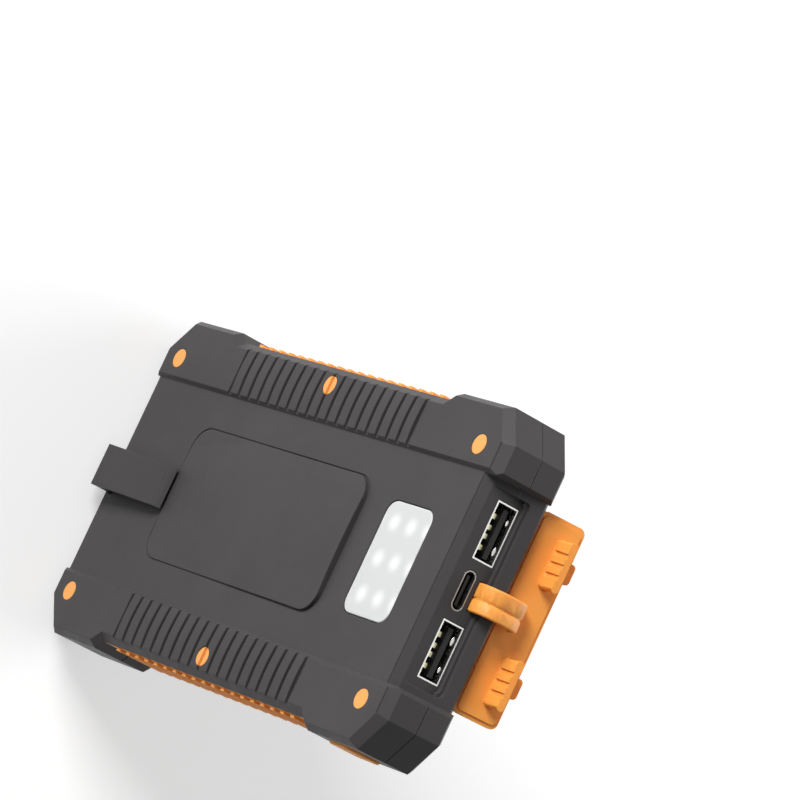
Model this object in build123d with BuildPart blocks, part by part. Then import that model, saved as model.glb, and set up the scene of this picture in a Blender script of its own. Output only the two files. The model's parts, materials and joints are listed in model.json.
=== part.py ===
"""Solar phone charger with a lamp, two USB-A ports, one USB-C port, a rubber port cover and a strap clip.

Millimetres. The charger stands on the end away from its ports: z = 0 is that end, +Z runs up to the
ports, the solar panel faces -Y, the lamp faces +Y and the power button is on the -X side. The two case
halves meet at y = 0.
"""
import os
from math import cos, radians, sin

from build123d import *

os.makedirs("parts", exist_ok=True)

# ---------------------------------------------------------------- driving dimensions
HALF_W = 38.5          # half width over the corner pads
HALF_H = 69.7          # half height over the corner pads
FRONT_Y = -7.7         # solar face
FRONT_BEVEL_Y = -6.3   # where the side faces turn into the front bevel
RAIL_Y = 9.6           # back face of the two rails
REAR_BEVEL_Y = 7.6     # where the side faces turn into the rear bevel
PLATE_Y = 8.5          # back plate between the rails
PORT_Z = 66.4          # port face, measured from mid height
WAIST_W = 36.5         # half width over the side grips
END_Z = 68.9           # bottom end wall between the pads
FRONT_WALL_Z = 68.5    # front edge of the sloped end face that the port cover closes onto
PORT_EDGE_Y = 6.4      # rear edge of that face, level with the port face
RECESS_W = 44.0        # recess for the ports, open towards the rear
RECESS_Y = -3.4        # front wall of the recess
SEAM = 0.22            # width and depth of the shadow line between the case halves
WALL = 1.5             # plate thickness over the lamp and battery
FLOOR_Y = -4.4         # inside of the front shell
CEILING_Y = 7.0        # inside of the rear shell
RUN = 0.25             # running clearance of the button in its hole
FIT = 0.1              # clearance of parts that drop into a hole

RIBS, RIB_PITCH, RIB_W = 19, 4.05, 1.35    # bars on the side grips and along the solar face
GRIP_PITCH, GROOVE_W = 4.02, 1.1           # grooves across the rails
GRIP_Y = 9.92                              # crest of the ribs between those grooves
GRIP_Z, GRIP_L = -0.3, (RIBS - 1) * GRIP_PITCH + GROOVE_W

MID = HALF_H           # mid height above the standing end
core = Plane.XY.offset(MID)


def facing(y):
    """Sketch plane at depth y, drawn as seen from the solar side: local x = X, local y = Z."""
    return Plane(origin=(0, y, MID), x_dir=(1, 0, 0), z_dir=(0, -1, 0))


def beside(x):
    """Sketch plane at a given x for a section through the case: local x = Y, local y = Z."""
    return Plane(origin=(x, 0, MID), x_dir=(0, 1, 0), z_dir=(1, 0, 0))


def above(z):
    """Sketch plane level with z above mid height: local x = X, local y = Y."""
    return Plane(origin=(0, 0, MID + z), x_dir=(1, 0, 0), z_dir=(0, 0, 1))


def span(lo, hi):
    """Middle and size of an interval."""
    return (lo + hi) / 2, hi - lo


def block(x, y, z, mode=Mode.ADD):
    """Box between two corners given as (lo, hi) pairs, z measured from mid height."""
    (cx, sx), (cy, sy), (cz, sz) = span(*x), span(*y), span(*z)
    with Locations((cx, cy, cz)):
        Box(sx, sy, sz, mode=mode)


def post(x, z, y_lo, y_hi, radius, mode=Mode.ADD):
    """Cylinder along Y."""
    with Locations((x, (y_lo + y_hi) / 2, z)):
        Cylinder(radius, y_hi - y_lo, rotation=(90, 0, 0), mode=mode)


def outline(half_w, half_h, cut_x, cut_top, cut_bottom, waist, pad_z, waist_z):
    """Case outline: four cut-corner pads with a waist between them on each side."""
    right = [
        (half_w - cut_x, half_h), (half_w, half_h - cut_top), (half_w, pad_z), (waist, waist_z),
        (waist, -waist_z), (half_w, -pad_z), (half_w, -half_h + cut_bottom), (half_w - cut_x, -half_h),
    ]
    return right + [(-x, z) for x, z in reversed(right)]


def shell_half(y_side, side_points, y_face, face_points):
    """One half of the case: straight sides from the parting line, then a bevel up to its face."""
    with BuildSketch(facing(max(y_side, 0))) as straight:
        Polygon(*side_points, align=None)
    extrude(straight.sketch, amount=abs(y_side))
    with BuildSketch(facing(y_side)) as shoulder:
        Polygon(*side_points, align=None)
    with BuildSketch(facing(y_face)) as face:
        Polygon(*face_points, align=None)
    loft([shoulder.sketch.face(), face.sketch.face()], ruled=True)


def end_notch(z, half_w, y_lo, y_hi):
    """Cut the notch between the two pads of one end down to z."""
    out = 1 if z > 0 else -1
    with BuildSketch(facing(y_hi)) as notch:
        Polygon((-half_w, z), (half_w, z), (24.6, z + 1.2 * out), (24.6, 72 * out),
                (-24.6, 72 * out), (-24.6, z + 1.2 * out), align=None)
    extrude(notch.sketch, amount=y_hi - y_lo, mode=Mode.SUBTRACT)


def port_end(y_lo, y_hi):
    """Cut the sloped end face between the port pads, then the recess for the ports down to PORT_Z."""
    slope = (FRONT_WALL_Z - PORT_Z) / (PORT_EDGE_Y - FRONT_BEVEL_Y)
    with BuildSketch(beside(-23.7)) as wedge:
        Polygon((y_lo, FRONT_WALL_Z - slope * (y_lo - FRONT_BEVEL_Y)),
                (y_hi, FRONT_WALL_Z - slope * (y_hi - FRONT_BEVEL_Y)), (y_hi, 72), (y_lo, 72), align=None)
    extrude(wedge.sketch, amount=47.4, mode=Mode.SUBTRACT)
    with BuildSketch(above(PORT_Z)) as recess:
        with Locations((0, (RECESS_Y + 14) / 2)):
            RectangleRounded(RECESS_W, 14 - RECESS_Y, 1.3)
        with Locations((0, (y_lo + y_hi) / 2)):
            Rectangle(RECESS_W + 2, y_hi - y_lo, mode=Mode.INTERSECT)
    extrude(recess.sketch, amount=4, mode=Mode.SUBTRACT)


def notch_chamfer(y, z, y_end, z_end, half_w):
    """Chamfer between the face at y and the notch wall, from (y, z) to (y_end, z_end)."""
    out_y, out_z = (0.5 if y > 0 else -0.5), (0.5 if z > 0 else -0.5)
    with BuildSketch(beside(-half_w)) as corner:
        Polygon((y, z), (y_end, z_end), (y_end, z_end + out_z), (y + out_y, z_end + out_z), (y + out_y, z),
                align=None)
    extrude(corner.sketch, amount=2 * half_w, mode=Mode.SUBTRACT)


def save(part, label):
    part.part.label = label
    export_step(part.part, f"parts/{label}.step")


# ---------------------------------------------------------------- where things are
CORNER_SCREWS = [(sx * 28.75, z) for sx in (-1, 1) for z in (-61.7, 60.2)]
MIDDLE_SCREWS = [(sx * 32.08, -0.3) for sx in (-1, 1)]
SCREWS = CORNER_SCREWS + MIDDLE_SCREWS
BOARD_SCREWS = [(-24.0, 45.0), (24.0, 45.0), (-22.8, 61.8), (22.8, 61.8)]
USB_A_X, USB_A_Y, USB_A_W, USB_A_H = 13.35, 0.75, 13.1, 5.7
USB_C_Y, USB_C_W, USB_C_H = 2.0, 8.94, 3.16
LAMP_Z, LAMP_W, LAMP_H, LAMP_GAP = 46.4, 25.6, 17.0, 0.18
BUTTON_Y, BUTTON_Z, BUTTON_W, BUTTON_H = 0.4, 53.0, 9.4, 8.6
BUTTON_WALL_X = -36.7
BOARD_Y = (-3.4, -2.2)
STATUS_X = [0.45 + 3.12 * k for k in range(-2, 3)]
STATUS_Z, STATUS_R = 56.3, 0.38
PANEL_W, PANEL_H = 58.1, 103.6
HINGE_Y, HINGE_Z = -7.07, 67.06
OPEN_ANGLE = 167.0
CLIP_W, CLIP_ROOT_Y, CLIP_ROOT_Z = 9.8, 5.75, -66.1
CAVITY = [(28.6, 64.4), (33.6, 59.4), (33.6, -61.9), (28.6, -66.9)]
cavity_points = CAVITY + [(-x, z) for x, z in reversed(CAVITY)]

side_line = outline(HALF_W, HALF_H, 7.65, 5.75, 6.6, WAIST_W, 44.6, 42.2)
front_line = outline(37.25, 68.1, 6.9, 5.0, 5.85, 34.7, 45.0, 41.9)
rear_line = outline(37.25, 67.3, 6.9, 4.95, 5.85, 34.7, 45.0, 41.9)


def seal_outline(gap):
    """Outline round the cavity at a distance from its wall, left open above the battery."""
    pts = [(33.6 + gap, 46.0), (33.6 + gap, -61.9 - gap * 0.41), (28.6 + gap * 0.41, -66.9 - gap)]
    return pts + [(-x, z) for x, z in reversed(pts)]


def screw_cross(x, z, y_top, reach):
    """Cross recess in a screw head whose top is at y_top."""
    block((x - reach, x + reach), (y_top - 0.7, y_top + 0.1), (z - 0.18, z + 0.18), Mode.SUBTRACT)
    block((x - 0.18, x + 0.18), (y_top - 0.7, y_top + 0.1), (z - reach, z + reach), Mode.SUBTRACT)


# ---------------------------------------------------------------- front shell (solar side)
with BuildPart(core) as front_shell:
    shell_half(FRONT_BEVEL_Y, side_line, FRONT_Y, front_line)
    end_notch(FRONT_WALL_Z, 23.7, FRONT_Y - 1, 0.1)
    end_notch(-END_Z, 23.4, FRONT_Y - 1, 0.1)
    notch_chamfer(FRONT_Y, 67.1, FRONT_BEVEL_Y, FRONT_WALL_Z, 23.7)
    notch_chamfer(FRONT_Y, -67.5, FRONT_BEVEL_Y, -END_Z, 23.4)
    # low bars along both long edges of the face
    with BuildSketch(facing(-7.0)):
        for side in (-1, 1):
            with Locations((side * 33.125, 0)):
                with GridLocations(1, RIB_PITCH, 1, RIBS):
                    Rectangle(4.35, RIB_W)
    extrude(amount=-FRONT_Y + 0.3 - 7.0)
    # cavity, with a deeper pocket behind the status lights
    with BuildSketch(facing(0)):
        Polygon(*cavity_points, align=None)
    extrude(amount=-FLOOR_Y, mode=Mode.SUBTRACT)
    block((-19.5, 19.5), (-6.2, FLOOR_Y), (53.6, 64.2), Mode.SUBTRACT)
    # screw bosses and board posts
    for x, z in SCREWS:
        post(x, z, FLOOR_Y - 0.1, 0, 2.7)
        post(x, z, FLOOR_Y + 0.3, 0, 1.0, Mode.SUBTRACT)
    for x, z in BOARD_SCREWS:
        post(x, z, FLOOR_Y - 0.1, BOARD_Y[0], 1.7)
        post(x, z, FLOOR_Y - 1.0, BOARD_Y[0], 0.6, Mode.SUBTRACT)
    # window for the solar panel: a shallow bevel, then a flat recess
    with BuildSketch(facing(FRONT_Y)):
        RectangleRounded(61.4, 106.6, 4.6)
    with BuildSketch(facing(FRONT_Y + 0.5)):
        RectangleRounded(PANEL_W, PANEL_H, 3.0)
    loft(mode=Mode.SUBTRACT)
    with BuildSketch(facing(FRONT_Y + 1.95)):
        RectangleRounded(PANEL_W, PANEL_H, 3.0)
    extrude(amount=1.6, mode=Mode.SUBTRACT)
    block((-3.0, 3.0), (-6.0, FLOOR_Y + 0.2), (48.8, 50.2), Mode.SUBTRACT)
    # sloped end face with the recess for the ports, and the step along its front wall
    port_end(FRONT_BEVEL_Y, 0.1)
    with BuildSketch(above(PORT_Z)):
        with Locations((0, (RECESS_Y + 14) / 2)):
            RectangleRounded(RECESS_W + 0.2, 14.2 - RECESS_Y, 1.4)
        with Locations((0, (RECESS_Y + 0.75 + 14) / 2)):
            RectangleRounded(RECESS_W - 1.5, 13.25 - RECESS_Y, 1.0, mode=Mode.SUBTRACT)
        with Locations((0, RECESS_Y + 0.6)):
            Rectangle(RECESS_W + 2, 1.6, mode=Mode.INTERSECT)
    extrude(amount=0.9)
    # openings in the port wall
    for side in (-1, 1):
        (x, w) = (side * USB_A_X, USB_A_W / 2 + FIT)
        block((x - w, x + w), (USB_A_Y - USB_A_H / 2 - FIT, 0.1), (64.3, PORT_Z + 0.1), Mode.SUBTRACT)
    block((-3.35, 3.35), (-2.35, -0.65), (64.3, PORT_Z + 0.1), Mode.SUBTRACT)
    # status light holes
    for x in STATUS_X:
        post(x, STATUS_Z, FRONT_Y - 0.1, -6.1, STATUS_R, Mode.SUBTRACT)
    # button hole and the room behind it
    block((-40, -35), (BUTTON_Y - BUTTON_W / 2 - RUN, 0.1),
          (BUTTON_Z - BUTTON_H / 2 - RUN, BUTTON_Z + BUTTON_H / 2 + RUN), Mode.SUBTRACT)
    block((BUTTON_WALL_X, -33), (-5.0, 0.1), (47.6, 58.4), Mode.SUBTRACT)
    # side grip recesses
    for side in (-1, 1):
        xs = sorted((side * 35.3, side * 37.5))
        block(xs, (FRONT_BEVEL_Y + 0.1, 0.1), (-42.0, 42.0), Mode.SUBTRACT)
    # groove for the seal
    with BuildSketch(facing(0)):
        Polygon(*seal_outline(1.25), align=None)
        Polygon(*seal_outline(0.45), align=None, mode=Mode.SUBTRACT)
    extrude(amount=0.8, mode=Mode.SUBTRACT)
save(front_shell, "front_shell")

with BuildPart(core) as case_seal:
    with BuildSketch(facing(0)):
        Polygon(*seal_outline(1.2), align=None)
        Polygon(*seal_outline(0.5), align=None, mode=Mode.SUBTRACT)
    extrude(amount=0.78)
save(case_seal, "case_seal")

# ---------------------------------------------------------------- rear shell (lamp side)
PAD_Z, PAD_L, PAD_W = -6.75, 71.5, 31.2
with BuildPart() as raised_pad:    # drawn about mid height, added to the rear shell below
    with BuildSketch(Plane.XZ.offset(-12)):
        with Locations((0, PAD_Z)):
            RectangleRounded(PAD_W, PAD_L, 5.0)
    extrude(amount=4.2)
    crest, radius = 9.25, 200.0
    with Locations((0, crest - radius, PAD_Z)):
        Cylinder(radius, 200, rotation=(-0.8, 0, 0), mode=Mode.INTERSECT)

with BuildPart() as grip_bars:    # barrel-shaped tops of the ribs on the rails, drawn about mid height
    for side in (-1, 1):
        with BuildSketch(Plane.XY.offset(GRIP_Z - GRIP_L / 2)):
            with BuildLine():
                ThreePointArc((side * 24.6, RAIL_Y), (side * 29.8, GRIP_Y), (side * 34.9, RAIL_Y))
                Polyline((side * 34.9, RAIL_Y), (side * 34.9, RAIL_Y - 0.6), (side * 24.6, RAIL_Y - 0.6),
                         (side * 24.6, RAIL_Y))
            make_face()
        extrude(amount=GRIP_L)

with BuildPart(core) as rear_shell:
    shell_half(REAR_BEVEL_Y, side_line, RAIL_Y, rear_line)
    end_notch(FRONT_WALL_Z, 23.7, -0.1, RAIL_Y + 1)
    end_notch(-END_Z, 24.0, -0.1, RAIL_Y + 1)
    port_end(-0.1, PORT_EDGE_Y)
    port_end(PORT_EDGE_Y, RAIL_Y + 1)
    # valley between the rails, with sloped inner walls
    with BuildSketch(above(-80)):
        Polygon((-24.6, RAIL_Y), (-23.8, PLATE_Y), (23.8, PLATE_Y), (24.6, RAIL_Y), (24.6, RAIL_Y + 1),
                (-24.6, RAIL_Y + 1), align=None)
    extrude(amount=160, mode=Mode.SUBTRACT)
    # chamfers at both ends of the plate
    notch_chamfer(PLATE_Y, 64.9, PORT_EDGE_Y, PORT_Z, 23.7)
    notch_chamfer(PLATE_Y, -67.5, 7.4, -END_Z, 23.9)
    # fine grooves where the plate and the port pads turn over to the end
    block((-23.7, 23.7), (PLATE_Y - SEAM, PLATE_Y + 0.1), (64.9 - SEAM, 64.95), Mode.SUBTRACT)
    for x in (-30.4, 24.7):
        block((x, x + 5.7), (RAIL_Y - SEAM, RAIL_Y + 0.1), (67.3 - SEAM, 67.35), Mode.SUBTRACT)
    # shadow line where the case halves meet
    with BuildSketch(facing(SEAM)):
        Polygon(*side_line, align=None)
        offset(amount=-SEAM, mode=Mode.SUBTRACT)
    extrude(amount=SEAM + 0.1, mode=Mode.SUBTRACT)
    # raised pad and the fine groove round it
    with BuildSketch(facing(PLATE_Y)):
        with Locations((0, PAD_Z)):
            RectangleRounded(PAD_W + 0.7, PAD_L + 0.7, 5.35)
            RectangleRounded(PAD_W, PAD_L, 5.0, mode=Mode.SUBTRACT)
    extrude(amount=0.25, mode=Mode.SUBTRACT)
    add(raised_pad.part)
    # ribs on the rails, parted by grooves that run out through both edges
    add(grip_bars.part)
    with BuildSketch(facing(RAIL_Y + 1)):
        for side in (-1, 1):
            with Locations((side * 29.65, GRIP_Z)):
                with GridLocations(1, GRIP_PITCH, 1, RIBS):
                    Rectangle(12.1, GROOVE_W)
    extrude(amount=1.6, mode=Mode.SUBTRACT)
    # cavity
    with BuildSketch(facing(CEILING_Y)):
        Polygon(*cavity_points, align=None)
    extrude(amount=CEILING_Y, mode=Mode.SUBTRACT)
    # screw bosses, counterbored from the rails
    for x, z in SCREWS:
        post(x, z, 0, CEILING_Y + 0.1, 2.9 if abs(z) > 5 else 2.7)
        post(x, z, 6.6, GRIP_Y + 0.1, 2.25, Mode.SUBTRACT)
        post(x, z, -0.1, 6.7, 1.15, Mode.SUBTRACT)
    # lamp opening and the posts that carry the lamp board
    with BuildSketch(facing(PLATE_Y + 0.1)):
        with Locations((0, LAMP_Z)):
            RectangleRounded(LAMP_W + 2 * LAMP_GAP, LAMP_H + 2 * LAMP_GAP, 3.0 + LAMP_GAP)
    extrude(amount=2, mode=Mode.SUBTRACT)
    for sx in (-1, 1):
        for z in (39.0, 53.8):
            post(sx * 15.5, z, 5.8, CEILING_Y + 0.1, 1.3)
            post(sx * 15.5, z, 4.7, 5.9, 0.7)
    # clip socket under the plate, with its slot
    block((-10.5, 10.5), (4.4, CEILING_Y + 0.1), (-67.0, -62.6))
    with Locations((0, CLIP_ROOT_Y, CLIP_ROOT_Z)):
        Cylinder(1.3, CLIP_W + 0.4, rotation=(0, 90, 0), mode=Mode.SUBTRACT)
    block((-5.1, 5.1), (4.3, CLIP_ROOT_Y), (-67.4, -64.8), Mode.SUBTRACT)
    block((-5.1, 5.1), (6.0, PLATE_Y + 0.1), (-67.15, -65.05), Mode.SUBTRACT)
    for sx in (-1, 1):
        post(sx * 8.0, -64.6, 4.3, 6.8, 0.7, Mode.SUBTRACT)
    # openings in the port wall
    for side in (-1, 1):
        (x, w) = (side * USB_A_X, USB_A_W / 2 + FIT)
        block((x - w, x + w), (-0.1, USB_A_Y + USB_A_H / 2 + FIT), (64.3, PORT_Z + 0.1), Mode.SUBTRACT)
    with BuildSketch(above(64.3)):
        with Locations((0, USB_C_Y)):
            RectangleRounded(USB_C_W + 2 * FIT, USB_C_H + 2 * FIT, 1.6)
    extrude(amount=2.2, mode=Mode.SUBTRACT)
    # button hole and the room behind it
    block((-40, -35), (-0.1, BUTTON_Y + BUTTON_W / 2 + RUN),
          (BUTTON_Z - BUTTON_H / 2 - RUN, BUTTON_Z + BUTTON_H / 2 + RUN), Mode.SUBTRACT)
    block((BUTTON_WALL_X, -33), (-0.1, 6.0), (47.6, 58.4), Mode.SUBTRACT)
    # side grip recesses
    for side in (-1, 1):
        xs = sorted((side * 35.3, side * 37.5))
        block(xs, (-0.1, REAR_BEVEL_Y - 0.1), (-42.0, 42.0), Mode.SUBTRACT)
save(rear_shell, "rear_shell")

# ---------------------------------------------------------------- rubber side grips
for side, label in ((-1, "side_grip_left"), (1, "side_grip_right")):
    with BuildPart(core) as grip:
        xs = sorted((side * 35.35, side * WAIST_W))
        block(xs, (FRONT_BEVEL_Y + 0.15, REAR_BEVEL_Y - 0.15), (-41.9, 41.9))
        with BuildSketch(beside(min(side * (WAIST_W - 0.1), side * (WAIST_W + 0.7)))):
            with Locations((0.85, 0)):
                with GridLocations(1, RIB_PITCH, 1, RIBS):
                    Rectangle(12.5, RIB_W)
        extrude(amount=0.8)
    save(grip, label)

# ---------------------------------------------------------------- solar panel
with BuildPart(core) as panel_tape:
    with BuildSketch(facing(-5.75)):
        RectangleRounded(PANEL_W - 1.0, PANEL_H - 1.0, 2.5)
        with Locations((0, 49.5)):
            Rectangle(6.2, 1.6, mode=Mode.SUBTRACT)
    extrude(amount=0.15)
save(panel_tape, "solar_panel_tape")

with BuildPart(core) as solar_backing_board:
    with BuildSketch(facing(-5.9)):
        RectangleRounded(PANEL_W - 0.2, PANEL_H - 0.2, 2.9)
    extrude(amount=0.8)
save(solar_backing_board, "solar_backing_board")

CELLS = [(sx * 14.3, (4.5 - row) * 9.54) for sx in (-1, 1) for row in range(10)]
with BuildPart(core) as solar_cells:
    with BuildSketch(facing(-6.7)):
        with Locations(*CELLS):
            Rectangle(25.8, 9.1)
    extrude(amount=0.2)
save(solar_cells, "solar_cells")

with BuildPart(core) as solar_cell_fingers:
    with BuildSketch(facing(-6.9)):
        with Locations(*CELLS):
            with GridLocations(1, 1.6, 1, 5):
                Rectangle(24.7, 0.26)
    extrude(amount=0.05)
save(solar_cell_fingers, "solar_cell_fingers")

with BuildPart(core) as solar_cover_sheet:
    with BuildSketch(facing(-6.95)):
        RectangleRounded(PANEL_W - 0.2, PANEL_H - 0.2, 2.9)
    extrude(amount=0.25)
save(solar_cover_sheet, "solar_cover_sheet")

with BuildPart(core) as solar_leads:
    for x in (-1.6, 1.6):
        post(x, 49.5, -5.9, BOARD_Y[0], 0.4)
save(solar_leads, "solar_leads")

# ---------------------------------------------------------------- main board and what it carries
with BuildPart(core) as main_board:
    block((-29.0, 29.0), BOARD_Y, (42.0, 56.4))
    block((-33.4, -28.9), BOARD_Y, (49.0, 56.4))
    block((-25.2, 25.2), BOARD_Y, (56.3, 64.2))
    block((-5.0, 5.0), (-3.5, -2.1), (61.8, 64.3), Mode.SUBTRACT)
    for x, z in BOARD_SCREWS:
        post(x, z, -3.5, -2.1, 0.65, Mode.SUBTRACT)
save(main_board, "main_board")

with BuildPart(core) as board_screws:
    for x, z in BOARD_SCREWS:
        post(x, z, FLOOR_Y - 0.8, BOARD_Y[1], 0.59)
        post(x, z, BOARD_Y[1], BOARD_Y[1] + 0.8, 1.3)
        screw_cross(x, z, BOARD_Y[1] + 1.1, 0.8)
save(board_screws, "board_screws")

with BuildPart(core) as control_chips:
    for x, z, w, h in ((-13.0, 47.0, 5.0, 5.0), (-24.8, 50.2, 4.0, 4.0), (0.0, 54.5, 4.0, 5.0)):
        block((x - w / 2, x + w / 2), (BOARD_Y[1], BOARD_Y[1] + 0.9), (z - h / 2, z + h / 2))
save(control_chips, "control_chips")

with BuildPart(core) as power_inductor:
    with BuildSketch(Plane(origin=(12.0, BOARD_Y[1], MID + 47.2), x_dir=(1, 0, 0), z_dir=(0, 1, 0))):
        RectangleRounded(7.2, 7.2, 1.4)
    extrude(amount=3.2)
save(power_inductor, "power_inductor")

with BuildPart(core) as board_capacitors:
    for x, z in ((18.6, 45.2), (18.6, 49.6), (-19.0, 46.4), (24.6, 51.4)):
        post(x, z, BOARD_Y[1], BOARD_Y[1] + 4.4, 1.9)
save(board_capacitors, "board_capacitors")

for side, label in ((-1, "left"), (1, "right")):
    x = side * USB_A_X
    with BuildPart(core) as usb_shell:
        w, h, t = USB_A_W / 2, USB_A_H / 2, 0.35
        block((x - w, x + w), (USB_A_Y - h, USB_A_Y + h), (52.4, PORT_Z))
        block((x - w + t, x + w - t), (USB_A_Y - h + t, USB_A_Y + h - t), (52.75, PORT_Z + 1), Mode.SUBTRACT)
        # sprung tabs pressed out of the front wall
        for dx, r, rise in ((-side * 3.2, 1.6, 0.38), (side * 3.2, 0.95, 0.3)):
            with Locations((x + dx, USB_A_Y - h + t + rise - r, 64.3)):
                Cylinder(r, 1.2)
            block((x + dx - 2, x + dx + 2), (USB_A_Y - h - 3, USB_A_Y - h), (63, 65.5), Mode.SUBTRACT)
    save(usb_shell, f"usb_a_shell_{label}")

    with BuildPart(core) as usb_tongue:
        block((x - 6.1, x + 6.1), (USB_A_Y - 2.4, USB_A_Y + 2.4), (52.85, 55.5))
        block((x - 5.5, x + 5.5), (-0.95, 0.35), (55.4, 64.9))
    save(usb_tongue, f"usb_a_tongue_{label}")

with BuildPart(core) as usb_a_contacts:
    for side in (-1, 1):
        for dx in (-3.5, -1.0, 1.0, 3.5):
            x = side * USB_A_X + dx
            block((x - 0.5, x + 0.5), (0.35, 0.5), (55.5, 63.4))
            with Locations((x, 0.48, 62.55)):
                Cylinder(0.78, 1.15, rotation=(0, 90, 0))
            block((x - 1, x + 1), (-0.8, 0.35), (61, 64), Mode.SUBTRACT)
save(usb_a_contacts, "usb_a_contacts")

with BuildPart(core) as usb_c_shell:
    with BuildSketch(above(58.6)):
        with Locations((0, USB_C_Y)):
            RectangleRounded(USB_C_W, USB_C_H, 1.5)
    extrude(amount=PORT_Z - 58.6)
    with BuildSketch(above(58.95)):
        with Locations((0, USB_C_Y)):
            RectangleRounded(USB_C_W - 0.6, USB_C_H - 0.6, 1.2)
    extrude(amount=10, mode=Mode.SUBTRACT)
save(usb_c_shell, "usb_c_shell")

with BuildPart(core) as usb_c_tongue:
    with BuildSketch(above(59.0)):
        with Locations((0, USB_C_Y)):
            RectangleRounded(USB_C_W - 0.7, USB_C_H - 0.7, 1.15)
    extrude(amount=1.6)
    block((-3.35, 3.35), (USB_C_Y - 0.35, USB_C_Y + 0.35), (60.5, 65.8))
save(usb_c_tongue, "usb_c_tongue")

with BuildPart(core) as usb_c_riser:
    block((-4.3, 4.3), (BOARD_Y[1], USB_C_Y - USB_C_H / 2), (58.8, 61.6))
save(usb_c_riser, "usb_c_riser")

with BuildPart(core) as status_leds:
    for x in STATUS_X:
        block((x - 0.8, x + 0.8), (BOARD_Y[0] - 0.6, BOARD_Y[0]), (STATUS_Z - 0.4, STATUS_Z + 0.4))
save(status_leds, "status_leds")

with BuildPart(core) as status_light_guide:
    block((STATUS_X[0] - 1.4, STATUS_X[-1] + 1.4), (-6.2, -4.3), (STATUS_Z - 1.1, STATUS_Z + 1.1))
    for x in STATUS_X:
        post(x, STATUS_Z, FRONT_Y + 0.05, -6.1, STATUS_R - 0.03)
save(status_light_guide, "status_light_guide")

# ---------------------------------------------------------------- power button
SWITCH_Y = -0.4
with BuildPart(core) as power_button:
    with BuildSketch(Plane(origin=(-39.1, 0, MID), x_dir=(0, 1, 0), z_dir=(1, 0, 0))):
        with Locations((BUTTON_Y, BUTTON_Z)):
            RectangleRounded(BUTTON_W, BUTTON_H, 1.8)
    extrude(amount=39.1 + BUTTON_WALL_X)
    block((BUTTON_WALL_X + 0.05, -35.8), (BUTTON_Y - 5.2, BUTTON_Y + 5.4), (48.0, 58.0))
    block((BUTTON_WALL_X - 0.1, -35.8), (BUTTON_Y - 3.0, BUTTON_Y + 3.0), (50.0, 56.0))
    block((-35.9, -34.5), (SWITCH_Y - 0.9, SWITCH_Y + 0.9), (51.7, 54.3))
    fillet(power_button.edges().filter_by(lambda e: e.center().X < -39.05), 0.35)
    # power symbol sunk into the cap
    with BuildSketch(Plane(origin=(-39.2, 0, MID), x_dir=(0, 1, 0), z_dir=(1, 0, 0))):
        with Locations((BUTTON_Y, BUTTON_Z)):
            Circle(2.55)
            Circle(2.05, mode=Mode.SUBTRACT)
        with Locations((BUTTON_Y, BUTTON_Z + 2.3)):
            Rectangle(1.7, 1.6, mode=Mode.SUBTRACT)
        with Locations((BUTTON_Y, BUTTON_Z + 1.9)):
            Rectangle(0.5, 2.2)
    extrude(amount=0.35, mode=Mode.SUBTRACT)
save(power_button, "power_button")

with BuildPart(core) as switch_body:
    block((-34.0, -30.0), (BOARD_Y[1], 1.4), (50.0, 56.0))
    block((-34.1, -31.8), (SWITCH_Y - 0.85, SWITCH_Y + 0.85), (51.65, 54.35), Mode.SUBTRACT)
save(switch_body, "switch_body")

with BuildPart(core) as switch_plunger:
    block((-34.5, -32.6), (SWITCH_Y - 0.8, SWITCH_Y + 0.8), (51.7, 54.3))
save(switch_plunger, "switch_plunger")

# ---------------------------------------------------------------- battery
with BuildPart(core) as battery_cell:
    block((-28.9, 28.9), (-3.8, 6.0), (-58.2, 36.8))
    fillet(battery_cell.edges().filter_by(Axis.Z), 2.0)
save(battery_cell, "battery_cell")

with BuildPart(core) as battery_tape:
    block((-24.0, 24.0), (FLOOR_Y, -3.8), (-54.0, 32.0))
save(battery_tape, "battery_tape")

with BuildPart(core) as battery_foam:
    block((-20.0, 20.0), (6.0, CEILING_Y), (-50.0, 30.0))
save(battery_foam, "battery_foam")

with BuildPart(core) as battery_protection_board:
    block((-14.0, 14.0), (1.0, 2.0), (37.3, 41.0))
save(battery_protection_board, "battery_protection_board")

with BuildPart(core) as battery_tabs:
    for x in (-9.0, 9.0):
        block((x - 2.0, x + 2.0), (0.8, 1.0), (36.8, 39.4))
save(battery_tabs, "battery_tabs")

with BuildPart(core) as battery_leads:
    for x in (-5.0, 5.0):
        with BuildLine(beside(x)):
            lead = FilletPolyline((2.0, 39.4), (3.4, 39.4), (3.4, 43.9), (-2.2, 43.9), radius=1.2)
        with BuildSketch(Plane(origin=lead @ 0, z_dir=lead % 0)):
            Circle(0.5)
        sweep(path=lead)
save(battery_leads, "battery_leads")

# ---------------------------------------------------------------- lamp
with BuildPart(core) as lamp_board:
    block((-17.2, 17.2), (5.0, 5.8), (36.9, 55.9))
    for sx in (-1, 1):
        for z in (39.0, 53.8):
            post(sx * 15.5, z, 4.9, 5.9, 0.75, Mode.SUBTRACT)
save(lamp_board, "lamp_board")

with BuildPart(core) as lamp_leds:
    for x in (-8.05, 0.0, 8.05):
        for z in (-3.7, 2.4):
            block((x - 1.4, x + 1.4), (5.8, 6.4), (LAMP_Z + z - 1.4, LAMP_Z + z + 1.4))
save(lamp_leds, "lamp_leds")

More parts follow.
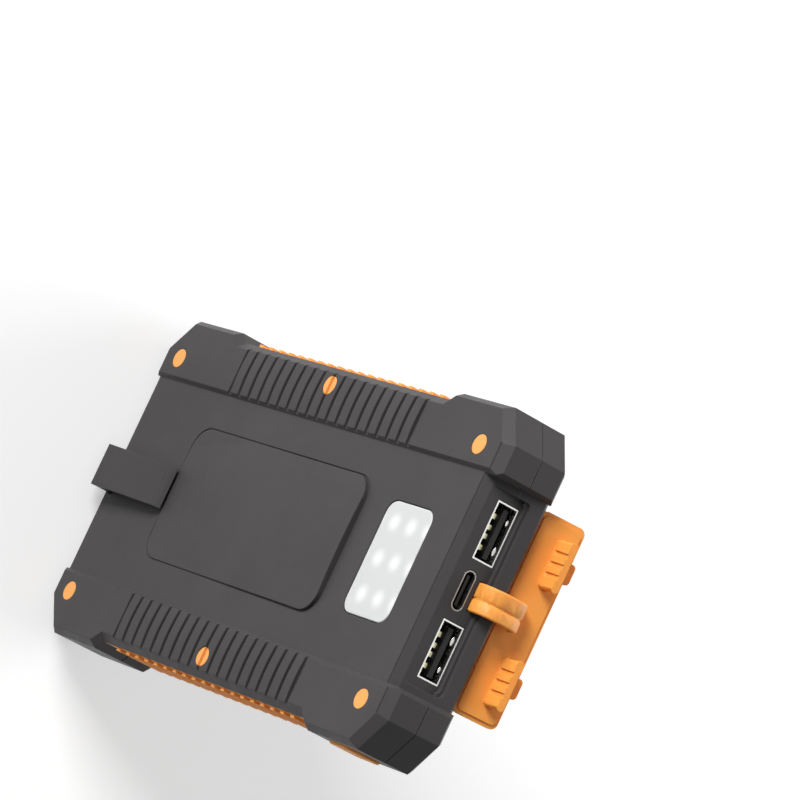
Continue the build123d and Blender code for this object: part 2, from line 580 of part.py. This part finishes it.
with BuildPart(core) as lamp_lens:
    with BuildSketch(facing(PLATE_Y)):
        with Locations((0, LAMP_Z)):
            RectangleRounded(LAMP_W, LAMP_H, 3.0)
    extrude(amount=WALL)
    with BuildSketch(facing(CEILING_Y)):
        with Locations((0, LAMP_Z)):
            RectangleRounded(LAMP_W + 2, LAMP_H + 1.6, 3.0)
            RectangleRounded(LAMP_W - 2, LAMP_H - 2, 2.0, mode=Mode.SUBTRACT)
    extrude(amount=0.8)
    fillet(lamp_lens.faces().sort_by(Axis.Y)[-1].edges(), 0.3)
save(lamp_lens, "lamp_lens")

with BuildPart(core) as lamp_leads:
    for x in (-2.0, 2.0):
        with BuildLine(beside(x)):
            lead = FilletPolyline((5.0, 42.4), (2.0, 42.4), (2.0, 46.0), (-2.2, 46.0), radius=1.2)
        with BuildSketch(Plane(origin=lead @ 0, z_dir=lead % 0)):
            Circle(0.4)
        sweep(path=lead)
save(lamp_leads, "lamp_leads")

# ---------------------------------------------------------------- screws and their plugs
with BuildPart(core) as case_screws:
    for x, z in SCREWS:
        post(x, z, FLOOR_Y + 0.5, 6.6, 0.98)
        post(x, z, 6.6, 8.1, 2.0)
        screw_cross(x, z, 8.1, 1.3)
save(case_screws, "case_screws")

with BuildPart(core) as corner_plugs:
    for x, z in CORNER_SCREWS:
        post(x, z, 8.3, RAIL_Y, 2.2)
save(corner_plugs, "corner_plugs")

with BuildPart(core) as slotted_plugs:
    for x, z in MIDDLE_SCREWS:
        post(x, z, 8.3, RAIL_Y + 0.15, 2.2)
        block((x - 3, x + 3), (RAIL_Y - 0.75, RAIL_Y + 1), (z - 0.55, z + 0.55), Mode.SUBTRACT)
save(slotted_plugs, "slotted_plugs")

# ---------------------------------------------------------------- strap clip
with BuildPart(core) as strap_clip:
    with BuildSketch(beside(-CLIP_W / 2)):
        Polygon((13.5, -67.2), (11.25, -43.7), (10.5, -42.6), (9.55, -41.9), (9.25, -42.8), (9.65, -44.1),
                (11.95, -65.4), (CLIP_ROOT_Y, -65.4), (CLIP_ROOT_Y, -66.8), (8.9, -66.8), align=None)
        with Locations((CLIP_ROOT_Y, CLIP_ROOT_Z)):
            Circle(1.2)
    extrude(amount=CLIP_W)
    fillet(strap_clip.edges().filter_by(Axis.X).sort_by(Axis.Y)[-1], 0.5)
save(strap_clip, "strap_clip")

with BuildPart(core) as clip_retainer:
    block((-10.5, 10.5), (3.4, 4.4), (-66.7, -62.6))
    for sx in (-1, 1):
        post(sx * 8.0, -64.6, 3.3, 4.5, 0.75, Mode.SUBTRACT)
save(clip_retainer, "clip_retainer")

with BuildPart(core) as clip_screws:
    for sx in (-1, 1):
        post(sx * 8.0, -64.6, 3.4, 6.6, 0.68)
        post(sx * 8.0, -64.6, 2.6, 3.4, 1.3)
save(clip_screws, "clip_screws")

# ---------------------------------------------------------------- port cover and its strap
# The cover is drawn from its hinge line: u runs from the hinge to the pull tabs, w points out of the
# case when the cover is shut. It is shown swung open.
swing = radians(OPEN_ANGLE)
cover_plane = Plane(origin=(0, HINGE_Y, MID + HINGE_Z), x_dir=(1, 0, 0), z_dir=(0, -sin(swing), cos(swing)))
FLANGE_W, LIP_W = 1.9, 1.5     # under side of the flange and of the lip, above the hinge line
BAR_W = -3.0                   # tip of the bars that close the USB-A sockets
with BuildPart(cover_plane) as port_cover:
    with BuildSketch(cover_plane.offset(FLANGE_W)):
        with Locations((0, (0.77 + 11.67) / 2)):
            RectangleRounded(45.6, 10.9, 1.6)
        for sx in (-1, 1):
            with Locations((sx * 13.0, 11.6)):
                RectangleRounded(4.6, 2.6, 0.9)
    extrude(amount=1.0)
    with BuildSketch(cover_plane.offset(LIP_W)):
        with Locations((0, (1.6 + 10.95) / 2)):
            RectangleRounded(43.8, 9.35, 1.2)
    extrude(amount=FLANGE_W - LIP_W)
    # each socket's plug: a tall round-ended bar with a sloping, three times grooved side that clears
    # the socket's tongue
    for sx in (-1, 1):
        x = sx * USB_A_X
        with BuildSketch(cover_plane.offset(BAR_W)):
            with Locations((x, (7.85 + 9.45) / 2)):
                RectangleRounded(11.3, 1.6, 0.79)
        extrude(amount=LIP_W - BAR_W)
        with BuildSketch(cover_plane.offset(0.3)):
            with Locations((x, (6.4 + 9.0) / 2)):
                RectangleRounded(10.8, 2.6, 0.7)
        extrude(amount=LIP_W - 0.3)
        for w, u, length, r in ((0.3, 6.4, 10.8, 0.5), (BAR_W, 7.8, 10.3, 0.4)):
            with BuildSketch(cover_plane.offset(w)):
                with Locations((x, (u + 9.0) / 2)):
                    RectangleRounded(length, 9.0 - u, r)
        loft()
        for dx in (-2.4, 0, 2.4):
            with BuildSketch(Plane(origin=cover_plane.origin + Vector(x + dx - 0.5, 0, 0),
                                   x_dir=cover_plane.y_dir, z_dir=cover_plane.x_dir)):
                Polygon((6.0, 0.9), (6.85, 0.45), (8.2, BAR_W - 0.1), (6.0, BAR_W - 0.1), align=None)
            extrude(amount=1.0, mode=Mode.SUBTRACT)
save(port_cover, "port_cover")


def from_cover(u, w):
    """Point of the open cover as (y, z from mid height)."""
    return HINGE_Y + u * cos(swing) - w * sin(swing), HINGE_Z + u * sin(swing) + w * cos(swing)


with BuildPart(core) as cover_tether:
    landing, shoulder = from_cover(4.95, LIP_W), from_cover(4.95, LIP_W - 4.6)
    with BuildLine(beside(0)):
        strap = FilletPolyline((-1.5, 64.3), (-1.5, shoulder[1]), shoulder, landing, radius=3.9)
    with BuildSketch(Plane(origin=strap @ 0, x_dir=(1, 0, 0), z_dir=strap % 0)):
        RectangleRounded(6.4, 1.35, 0.45)
        with Locations((-0.3, 0.675)):
            Rectangle(0.6, 0.6, rotation=45, mode=Mode.SUBTRACT)
    sweep(path=strap)
    block((-4.2, 4.2), (-2.4, -0.6), (62.9, 64.32))
save(cover_tether, "cover_tether")
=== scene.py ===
"""Looks for the solar phone charger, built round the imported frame. Metres, in the part's own frame."""
import json
import math

import bmesh
import bpy
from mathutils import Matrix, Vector


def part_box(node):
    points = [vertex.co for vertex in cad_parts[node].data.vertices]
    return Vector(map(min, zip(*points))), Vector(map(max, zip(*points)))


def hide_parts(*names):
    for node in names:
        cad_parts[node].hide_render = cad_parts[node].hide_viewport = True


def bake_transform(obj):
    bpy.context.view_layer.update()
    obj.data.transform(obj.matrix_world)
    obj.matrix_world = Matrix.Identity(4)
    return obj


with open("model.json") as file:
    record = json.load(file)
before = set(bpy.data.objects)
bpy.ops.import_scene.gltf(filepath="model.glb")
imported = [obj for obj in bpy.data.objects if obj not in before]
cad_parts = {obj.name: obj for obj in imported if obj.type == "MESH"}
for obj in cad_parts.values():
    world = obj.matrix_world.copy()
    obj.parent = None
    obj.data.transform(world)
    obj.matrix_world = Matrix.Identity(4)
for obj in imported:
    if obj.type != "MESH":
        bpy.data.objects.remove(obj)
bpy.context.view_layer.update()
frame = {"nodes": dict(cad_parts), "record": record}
nodes = frame["nodes"]
slot_of = {part["node"]: part["material_slot"] for part in frame["record"]["subparts"]}

MM = 0.001
WHITE = (1.0, 1.0, 1.0)
CHARCOAL = (0.056, 0.0525, 0.054)
ORANGE = (0.90, 0.355, 0.058)

# the lamp's diodes, and the spots of diode light painted onto its lens as brighter colour (painted glow):
# the outer spots lie this far in from the ends of the rows, which is 0.1 mm outside the middles of their
# diodes, and a painted spot fades out at this reach
LED_COLUMNS, LED_ROWS, SPOT_INSET, SPOT_REACH = 3, 2, 1.3 * MM, 2.9 * MM
STATUS_LIGHTS = 5

# the bending strap: it bends between the foot of its hole in the case and its landing on the cover, and is
# cut this often, level and upright
ROOT = (0, -0.0015, 0.1340)
LEVEL_CUTS, LEVEL_STEP = 13, 0.0006
UPRIGHT_CUTS, UPRIGHT_STEP, UPRIGHT_START = 30, 0.00035, 0.0001
STRAP_CREASE = 35                  # degrees: an edge sharper than this stays sharp

# the studio
FLOOR_HALF = 6
FLOOR_LIFT, FLOOR_FADE = (0.36, 0.9), (0.2, 0.8)    # glow of the paper, and the distances it goes with
ROOM_LIGHT = 0.22                                   # the white room's strength as light on the object
LIGHTS = {"key": ((0.80, 1.10, 0.55), 0.6, 24.5),   # from the middle of the case, side, watts
          "fill": ((0.40, -1.15, 0.45), 0.9, 10.0)}
MIDDLE = Vector((0.0, 0.0, 0.0697))                 # half way up the case
CAMERA_PLACE, CAMERA_TURN = (-0.0896, 0.6260, 1.0290), (-10.32, -32.55, -60.04)
SENSOR, FOCAL = 36.0, 240.9                         # millimetres
NEAR, FAR = 0.01, 50.0


# ---------------------------------------------------------------- node helpers
def put(socket, value):
    """Give a socket a number, a vector or a colour. A colour of three values gets an alpha of 1."""
    if isinstance(value, tuple) and len(value) < len(socket.default_value):
        value = (*value, 1.0)
    socket.default_value = value


def feed(tree, socket, value):
    """Link another node's output to a socket, or give it a plain value."""
    if isinstance(value, bpy.types.NodeSocket):
        tree.links.new(value, socket)
    else:
        put(socket, value)


def add_node(tree, kind, **props):
    """A new shader node. A name that starts with in_ is one of its inputs, the others are its properties."""
    node = tree.nodes.new("ShaderNode" + kind)
    for key, value in props.items():
        if key.startswith("in_"):
            feed(tree, node.inputs[key[3:].replace("_", " ")], value)
        else:
            setattr(node, key, value)
    return node


def calc(tree, operation, *terms):
    """The result of a Math node, whose terms are numbers or the outputs of other nodes."""
    node = add_node(tree, "Math", operation=operation)
    for socket, term in zip(node.inputs, terms):
        feed(tree, socket, term)
    return node.outputs[0]


def remapped(tree, value, source, target, interpolation="LINEAR"):
    """Value brought from the range source to the range target, and held inside it."""
    return add_node(tree, "MapRange", interpolation_type=interpolation, in_Value=value,
                    in_From_Min=source[0], in_From_Max=source[1],
                    in_To_Min=target[0], in_To_Max=target[1]).outputs["Result"]


def length_of(tree, vector):
    return add_node(tree, "VectorMath", operation="LENGTH", in_Vector=vector).outputs["Value"]


def looked_at(tree):
    """1 for camera, glossy and transmission rays, 0 for the rays that light the object."""
    rays = add_node(tree, "LightPath").outputs
    shiny = calc(tree, "MAXIMUM", rays["Is Glossy Ray"], rays["Is Transmission Ray"])
    return calc(tree, "MAXIMUM", rays["Is Camera Ray"], shiny)


# ---------------------------------------------------------------- materials
# Noise scales count cells to the metre. Depths of relief and radii of edges are in metres.
TONE, GLOSS = 55, 300                         # patches of uneven tone and gloss on moulded pieces
METAL_TONE, METAL_GLOSS, METAL_GRAIN = 700, 1500, 4000
FAINT = 0.004 * MM                            # relief that only breaks up a reflection
CRISP, SOFT = 0.1 * MM, 0.3 * MM              # edge radii
DRAWN = (1, 1, 0.2)                           # grain of sheet metal, drawn out along the sockets


def shade(base, change):
    return tuple(c * change for c in base)


class Shader:
    """A Principled material with short ways to drive its colour, roughness and relief."""

    def __init__(self, name, **sockets):
        self.mat = bpy.data.materials.new(name)
        self.mat.use_nodes = True
        self.tree = self.mat.node_tree
        self.main = self.tree.nodes["Principled BSDF"].inputs
        self.place = add_node(self.tree, "TexCoord").outputs["Object"]    # position in the part's frame
        for key, value in sockets.items():
            self.drive(key.replace("_", " "), value)

    def drive(self, socket, value):
        feed(self.tree, self.main[socket], value)

    def axes(self):
        """The position's X, Y and Z, each on its own."""
        return add_node(self.tree, "SeparateXYZ", in_Vector=self.place).outputs

    def noise(self, scale, detail=2.0, roughness=0.5, stretch=None):
        source = self.place
        if stretch:
            source = add_node(self.tree, "Mapping", in_Scale=stretch, in_Vector=source).outputs["Vector"]
        return add_node(self.tree, "TexNoise", in_Scale=scale, in_Detail=detail, in_Roughness=roughness,
                        in_Vector=source).outputs["Fac"]

    def ramp(self, value, *stops):
        """A colour picked by value between two stops, each a position and a colour."""
        node = add_node(self.tree, "ValToRGB", in_Fac=value)
        for element, (position, colour) in zip(node.color_ramp.elements, stops):
            element.position = position
            element.color = (*colour, 1.0)
        return node.outputs["Color"]

    def colour(self, value, *stops):
        self.drive("Base Color", self.ramp(value, *stops))

    def roughness(self, value, rough):
        """Roughness over the range rough as value goes through the middle of a noise's range."""
        self.drive("Roughness", remapped(self.tree, value, (0.3, 0.7), rough))

    def relief(self, value, depth, strength, edge=0.0):
        """Relief of a given depth, over edges rounded to a radius of edge."""
        bump = add_node(self.tree, "Bump", in_Strength=strength, in_Distance=depth, in_Height=value)
        if edge:
            rounded = add_node(self.tree, "Bevel", samples=6, in_Radius=edge)
            feed(self.tree, bump.inputs["Normal"], rounded.outputs["Normal"])
        self.drive("Normal", bump.outputs["Normal"])


def moulded(name, base, rough, grain=2600, depth=0.02 * MM, vary=0.06, edge=SOFT, **sockets):
    """Moulded plastic or rubber: spark-eroded grain, slight unevenness of tone and gloss."""
    s = Shader(name, **sockets)
    s.colour(s.noise(TONE, 3), (0.30, shade(base, 1 - vary)), (0.70, shade(base, 1 + vary)))
    s.roughness(s.noise(GLOSS, 2), rough)
    s.relief(s.noise(grain, 3, 0.6), depth, 0.6, edge)
    return s


def metal(name, base, rough, stretch=None):
    """Plated or rolled metal, with its grain drawn out by stretch."""
    s = Shader(name, Metallic=1.0)
    s.colour(s.noise(METAL_TONE, 2, stretch=stretch), (0.3, shade(base, 0.93)), (0.7, base))
    s.roughness(s.noise(METAL_GLOSS, 2, stretch=stretch), rough)
    s.relief(s.noise(METAL_GRAIN, 2, stretch=stretch), FAINT, 0.5, CRISP)
    return s


def circuit_board():
    """Solder mask over faint copper areas."""
    s = Shader("glass_fibre_board", Coat_Weight=0.3, Coat_Roughness=0.2)
    copper = s.noise(420, 2)
    s.colour(copper, (0.47, (0.008, 0.075, 0.028)), (0.53, (0.016, 0.125, 0.045)))
    s.roughness(s.noise(500), (0.35, 0.5))
    s.relief(copper, 0.03 * MM, 0.4, CRISP)
    return s


def silicon():
    """Dark solar cells with a fine crystal variation."""
    s = Shader("solar_silicon")
    flake = add_node(s.tree, "TexVoronoi", in_Scale=420.0, in_Vector=s.place)
    s.colour(flake.outputs["Color"], (0.0, (0.038, 0.036, 0.037)), (1.0, (0.046, 0.044, 0.045)))
    s.roughness(s.noise(800), (0.34, 0.44))
    s.relief(s.noise(3000, 2), FAINT, 0.25)
    return s


def clear_film():
    """The matt film over the cells: mostly see-through, so it only greys what lies under it."""
    s = Shader("clear_film", Alpha=0.12, Base_Color=(0.10, 0.097, 0.097))
    s.roughness(s.noise(900), (0.30, 0.38))
    s.relief(s.noise(2600, 2), FAINT, 0.25, CRISP)
    return s


def frosted_lens():
    """The lamp's window: frosted plastic, with the diodes' glow painted on as brighter colour over each
    light-emitting diode.
    """
    s = Shader("frosted_lens", Subsurface_Weight=0.25, Subsurface_Scale=1.2 * MM, Subsurface_Radius=WHITE,
               Coat_Weight=0.15)
    lo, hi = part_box("lamp_leds")
    here = s.axes()

    def from_nearest(axis, index, count):
        """How far along one axis the middle of the nearest spot is."""
        first, pitch = lo[index] + SPOT_INSET, (hi[index] - lo[index] - 2 * SPOT_INSET) / (count - 1)
        shifted = calc(s.tree, "SUBTRACT", here[axis], first - pitch / 2)
        return calc(s.tree, "SUBTRACT", calc(s.tree, "WRAP", shifted, pitch, 0.0), pitch / 2)

    offset = add_node(s.tree, "CombineXYZ", in_X=from_nearest("X", 0, LED_COLUMNS),
                      in_Z=from_nearest("Z", 2, LED_ROWS)).outputs["Vector"]
    # painted glow: the lens colour is brightened near the middle of each diode, standing in for its light
    painted_glow = remapped(s.tree, length_of(s.tree, offset), (0.0, SPOT_REACH), (1.0, 0.0), "SMOOTHSTEP")
    s.colour(painted_glow, (0.0, (0.575, 0.592, 0.582)), (1.0, (0.80, 0.81, 0.80)))
    s.roughness(s.noise(500), (0.34, 0.42))
    s.relief(s.noise(3500, 2), 0.006 * MM, 0.5, SOFT)
    return s


def light_guide():
    """The status lights: one green and four blue points of light."""
    s = Shader("status_light_guide", Roughness=0.3, Emission_Strength=0.25)
    lo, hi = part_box("status_leds")
    past_first = lo[0] + (hi[0] - lo[0]) / (2 * (STATUS_LIGHTS - 1))
    is_first = calc(s.tree, "LESS_THAN", s.axes()["X"], past_first)
    glow = s.ramp(is_first, (0.0, (0.04, 0.17, 0.42)), (1.0, (0.28, 0.50, 0.06)))
    s.drive("Base Color", glow)
    s.drive("Emission Color", glow)
    s.relief(s.noise(2000), 0.01 * MM, 0.4, CRISP)
    return s


BY_SLOT = {
    "charcoal_plastic": moulded("charcoal_plastic", CHARCOAL, (0.38, 0.48), Specular_IOR_Level=0.12),
    "orange_rubber": moulded("orange_rubber", ORANGE, (0.46, 0.58), grain=3400, vary=0.03, edge=0.18 * MM,
                             Subsurface_Weight=0.35, Subsurface_Scale=1.5 * MM,
                             Subsurface_Radius=(1.0, 0.35, 0.12)),
    "orange_plastic": moulded("orange_plug", (0.86, 0.36, 0.085), (0.42, 0.52), grain=3600,
                              depth=0.01 * MM, vary=0.02),
    "seal_rubber": moulded("seal_rubber", (0.020, 0.020, 0.020), (0.6, 0.7)),
    "black_nylon": moulded("black_nylon", (0.012, 0.011, 0.011), (0.40, 0.52), grain=5000,
                           depth=0.01 * MM, edge=CRISP, Specular_IOR_Level=0.3),
    "chip_epoxy": moulded("chip_epoxy", (0.014, 0.014, 0.016), (0.55, 0.7), grain=6000,
                          depth=0.01 * MM, edge=CRISP),
    "ferrite": moulded("ferrite", (0.045, 0.045, 0.05), (0.6, 0.75), grain=2500, depth=0.03 * MM),
    "ceramic_tan": moulded("ceramic_tan", (0.40, 0.25, 0.13), (0.35, 0.45), grain=3000, edge=CRISP),
    "foam": moulded("foam", (0.045, 0.045, 0.045), (0.85, 0.95), grain=1400, depth=0.2 * MM),
    "adhesive_tape": moulded("adhesive_tape", (0.72, 0.72, 0.70), (0.65, 0.75), grain=1800,
                             depth=0.03 * MM),
    "wire_insulation": moulded("wire_insulation", (0.50, 0.035, 0.02), (0.35, 0.45), grain=2000, edge=0.0),
    "led_clear": moulded("led_clear", (0.78, 0.78, 0.70), (0.25, 0.35), grain=3000, edge=CRISP),
    "solar_backing": moulded("solar_backing", (0.045, 0.0425, 0.043), (0.45, 0.55), grain=3000,
                             depth=0.01 * MM, edge=0.0),
    "steel": metal("screw_steel", (0.52, 0.52, 0.54), (0.28, 0.40)),
    "nickel_plate": metal("nickel_plate", (0.80, 0.79, 0.77), (0.18, 0.28), stretch=DRAWN),
    "aluminium_film": metal("aluminium_film", (0.66, 0.66, 0.68), (0.32, 0.45)),
    "contact_plate": metal("contact_plate", (0.72, 0.70, 0.46), (0.35, 0.46)),
    "silver_paste": metal("silver_paste", (0.80, 0.80, 0.80), (0.45, 0.6)),
    "glass_fibre_board": circuit_board(),
    "solar_silicon": silicon(),
    "clear_film": clear_film(),
    "frosted_plastic": frosted_lens(),
}
# nodes whose finish differs from the rest of their slot; the USB-C shell's darker colour is a painted dark
# reflection, not a duller metal
BY_NODE = {
    "strap_clip": moulded("clip_plastic", shade(CHARCOAL, 0.95), (0.36, 0.46), grain=3200,
                          Specular_IOR_Level=0.12),
    "status_light_guide": light_guide(),
    # painted reflection: the USB-C shell's nickel is given a much darker colour to stand in for the dark
    # reflection on it
    "usb_c_shell": metal("nickel_painted_dark", (0.30, 0.295, 0.29), (0.30, 0.40), stretch=DRAWN),
}


def dress(obj, node):
    """Give an object the finish of a CAD node."""
    obj.data.materials.clear()
    obj.data.materials.append((BY_NODE.get(node) or BY_SLOT[slot_of[node]]).mat)


for name, obj in nodes.items():
    dress(obj, name)


# ---------------------------------------------------------------- the strap of the port cover
def place_in_scene(name, data):
    obj = bpy.data.objects.new(name, data)
    bpy.context.scene.collection.objects.link(obj)
    return obj


def sliced(node, cuts):
    """A copy of a CAD node, cut across into slices, shown in place of the node, which is hidden.

    Each cut is a point and a normal.
    """
    bm = bmesh.new()
    bm.from_mesh(nodes[node].data)
    bmesh.ops.remove_doubles(bm, verts=bm.verts, dist=2e-7)
    for point, normal in cuts:
        everything = bm.verts[:] + bm.edges[:] + bm.faces[:]
        bmesh.ops.bisect_plane(bm, geom=everything, plane_co=point, plane_no=normal)
    mesh = bpy.data.meshes.new(node + "_sliced")
    bm.to_mesh(mesh)
    bm.free()
    mesh.shade_smooth()
    mesh.set_sharp_from_angle(angle=math.radians(STRAP_CREASE))
    piece = place_in_scene(node + "_sliced", mesh)
    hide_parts(node)
    dress(piece, node)
    return piece


# it rises out of the case, turns over and lands on the cover
strap_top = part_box("cover_tether")[1][2]
level = [((0, 0, strap_top - LEVEL_STEP * k), (0, 0, 1)) for k in range(1, LEVEL_CUTS + 1)]
upright = [((0, ROOT[1] - UPRIGHT_START - UPRIGHT_STEP * k, 0), (0, 1, 0)) for k in range(UPRIGHT_CUTS)]
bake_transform(sliced("cover_tether", upright + level))


# ---------------------------------------------------------------- floor, light and camera
def paper_floor():
    """Pale paper that keeps the object's shadow. It glows a little to the eye, and more with distance."""
    mesh = bpy.data.meshes.new("floor")
    corners = [(x * FLOOR_HALF, y * FLOOR_HALF, 0) for x, y in ((-1, -1), (1, -1), (1, 1), (-1, 1))]
    mesh.from_pydata(corners, [], [(0, 1, 2, 3)])
    floor = place_in_scene("floor", mesh)
    paper = Shader("floor_paper", Base_Color=(0.80, 0.80, 0.80), Roughness=0.9, Specular_IOR_Level=0.1,
                   Emission_Color=WHITE)
    lift = remapped(paper.tree, length_of(paper.tree, paper.place), FLOOR_FADE, FLOOR_LIFT, "SMOOTHSTEP")
    paper.drive("Emission Strength", calc(paper.tree, "MULTIPLY", looked_at(paper.tree), lift))
    floor.data.materials.append(paper.mat)


def white_room():
    """White behind the object and in what it mirrors, and a soft even light on the object itself."""
    world = bpy.data.worlds.new("studio")
    bpy.context.scene.world = world
    world.use_nodes = True
    tree = world.node_tree
    room = tree.nodes["Background"].inputs
    feed(tree, room["Color"], WHITE)
    feed(tree, room["Strength"], remapped(tree, looked_at(tree), (0.0, 1.0), (ROOM_LIGHT, 1.0)))


def area_light(name, place, size, power):
    """A square lamp at a place seen from the middle of the case, which it faces."""
    lamp = bpy.data.lights.new(name, "AREA")
    lamp.shape, lamp.size, lamp.energy = "SQUARE", size, power
    obj = place_in_scene(name, lamp)
    obj.location = MIDDLE + Vector(place)
    obj.rotation_mode = "QUATERNION"
    obj.rotation_quaternion = (-Vector(place)).to_track_quat("-Z", "Y")


def photo_camera():
    lens = bpy.data.cameras.new("camera")
    lens.sensor_width, lens.lens = SENSOR, FOCAL
    lens.clip_start, lens.clip_end = NEAR, FAR
    camera = place_in_scene("camera", lens)
    camera.location = CAMERA_PLACE
    camera.rotation_euler = [math.radians(angle) for angle in CAMERA_TURN]
    bpy.context.scene.camera = camera


paper_floor()
white_room()
for name, (place, size, power) in LIGHTS.items():
    area_light(name, place, size, power)
photo_camera()
bpy.context.scene.view_settings.view_transform = "Standard"
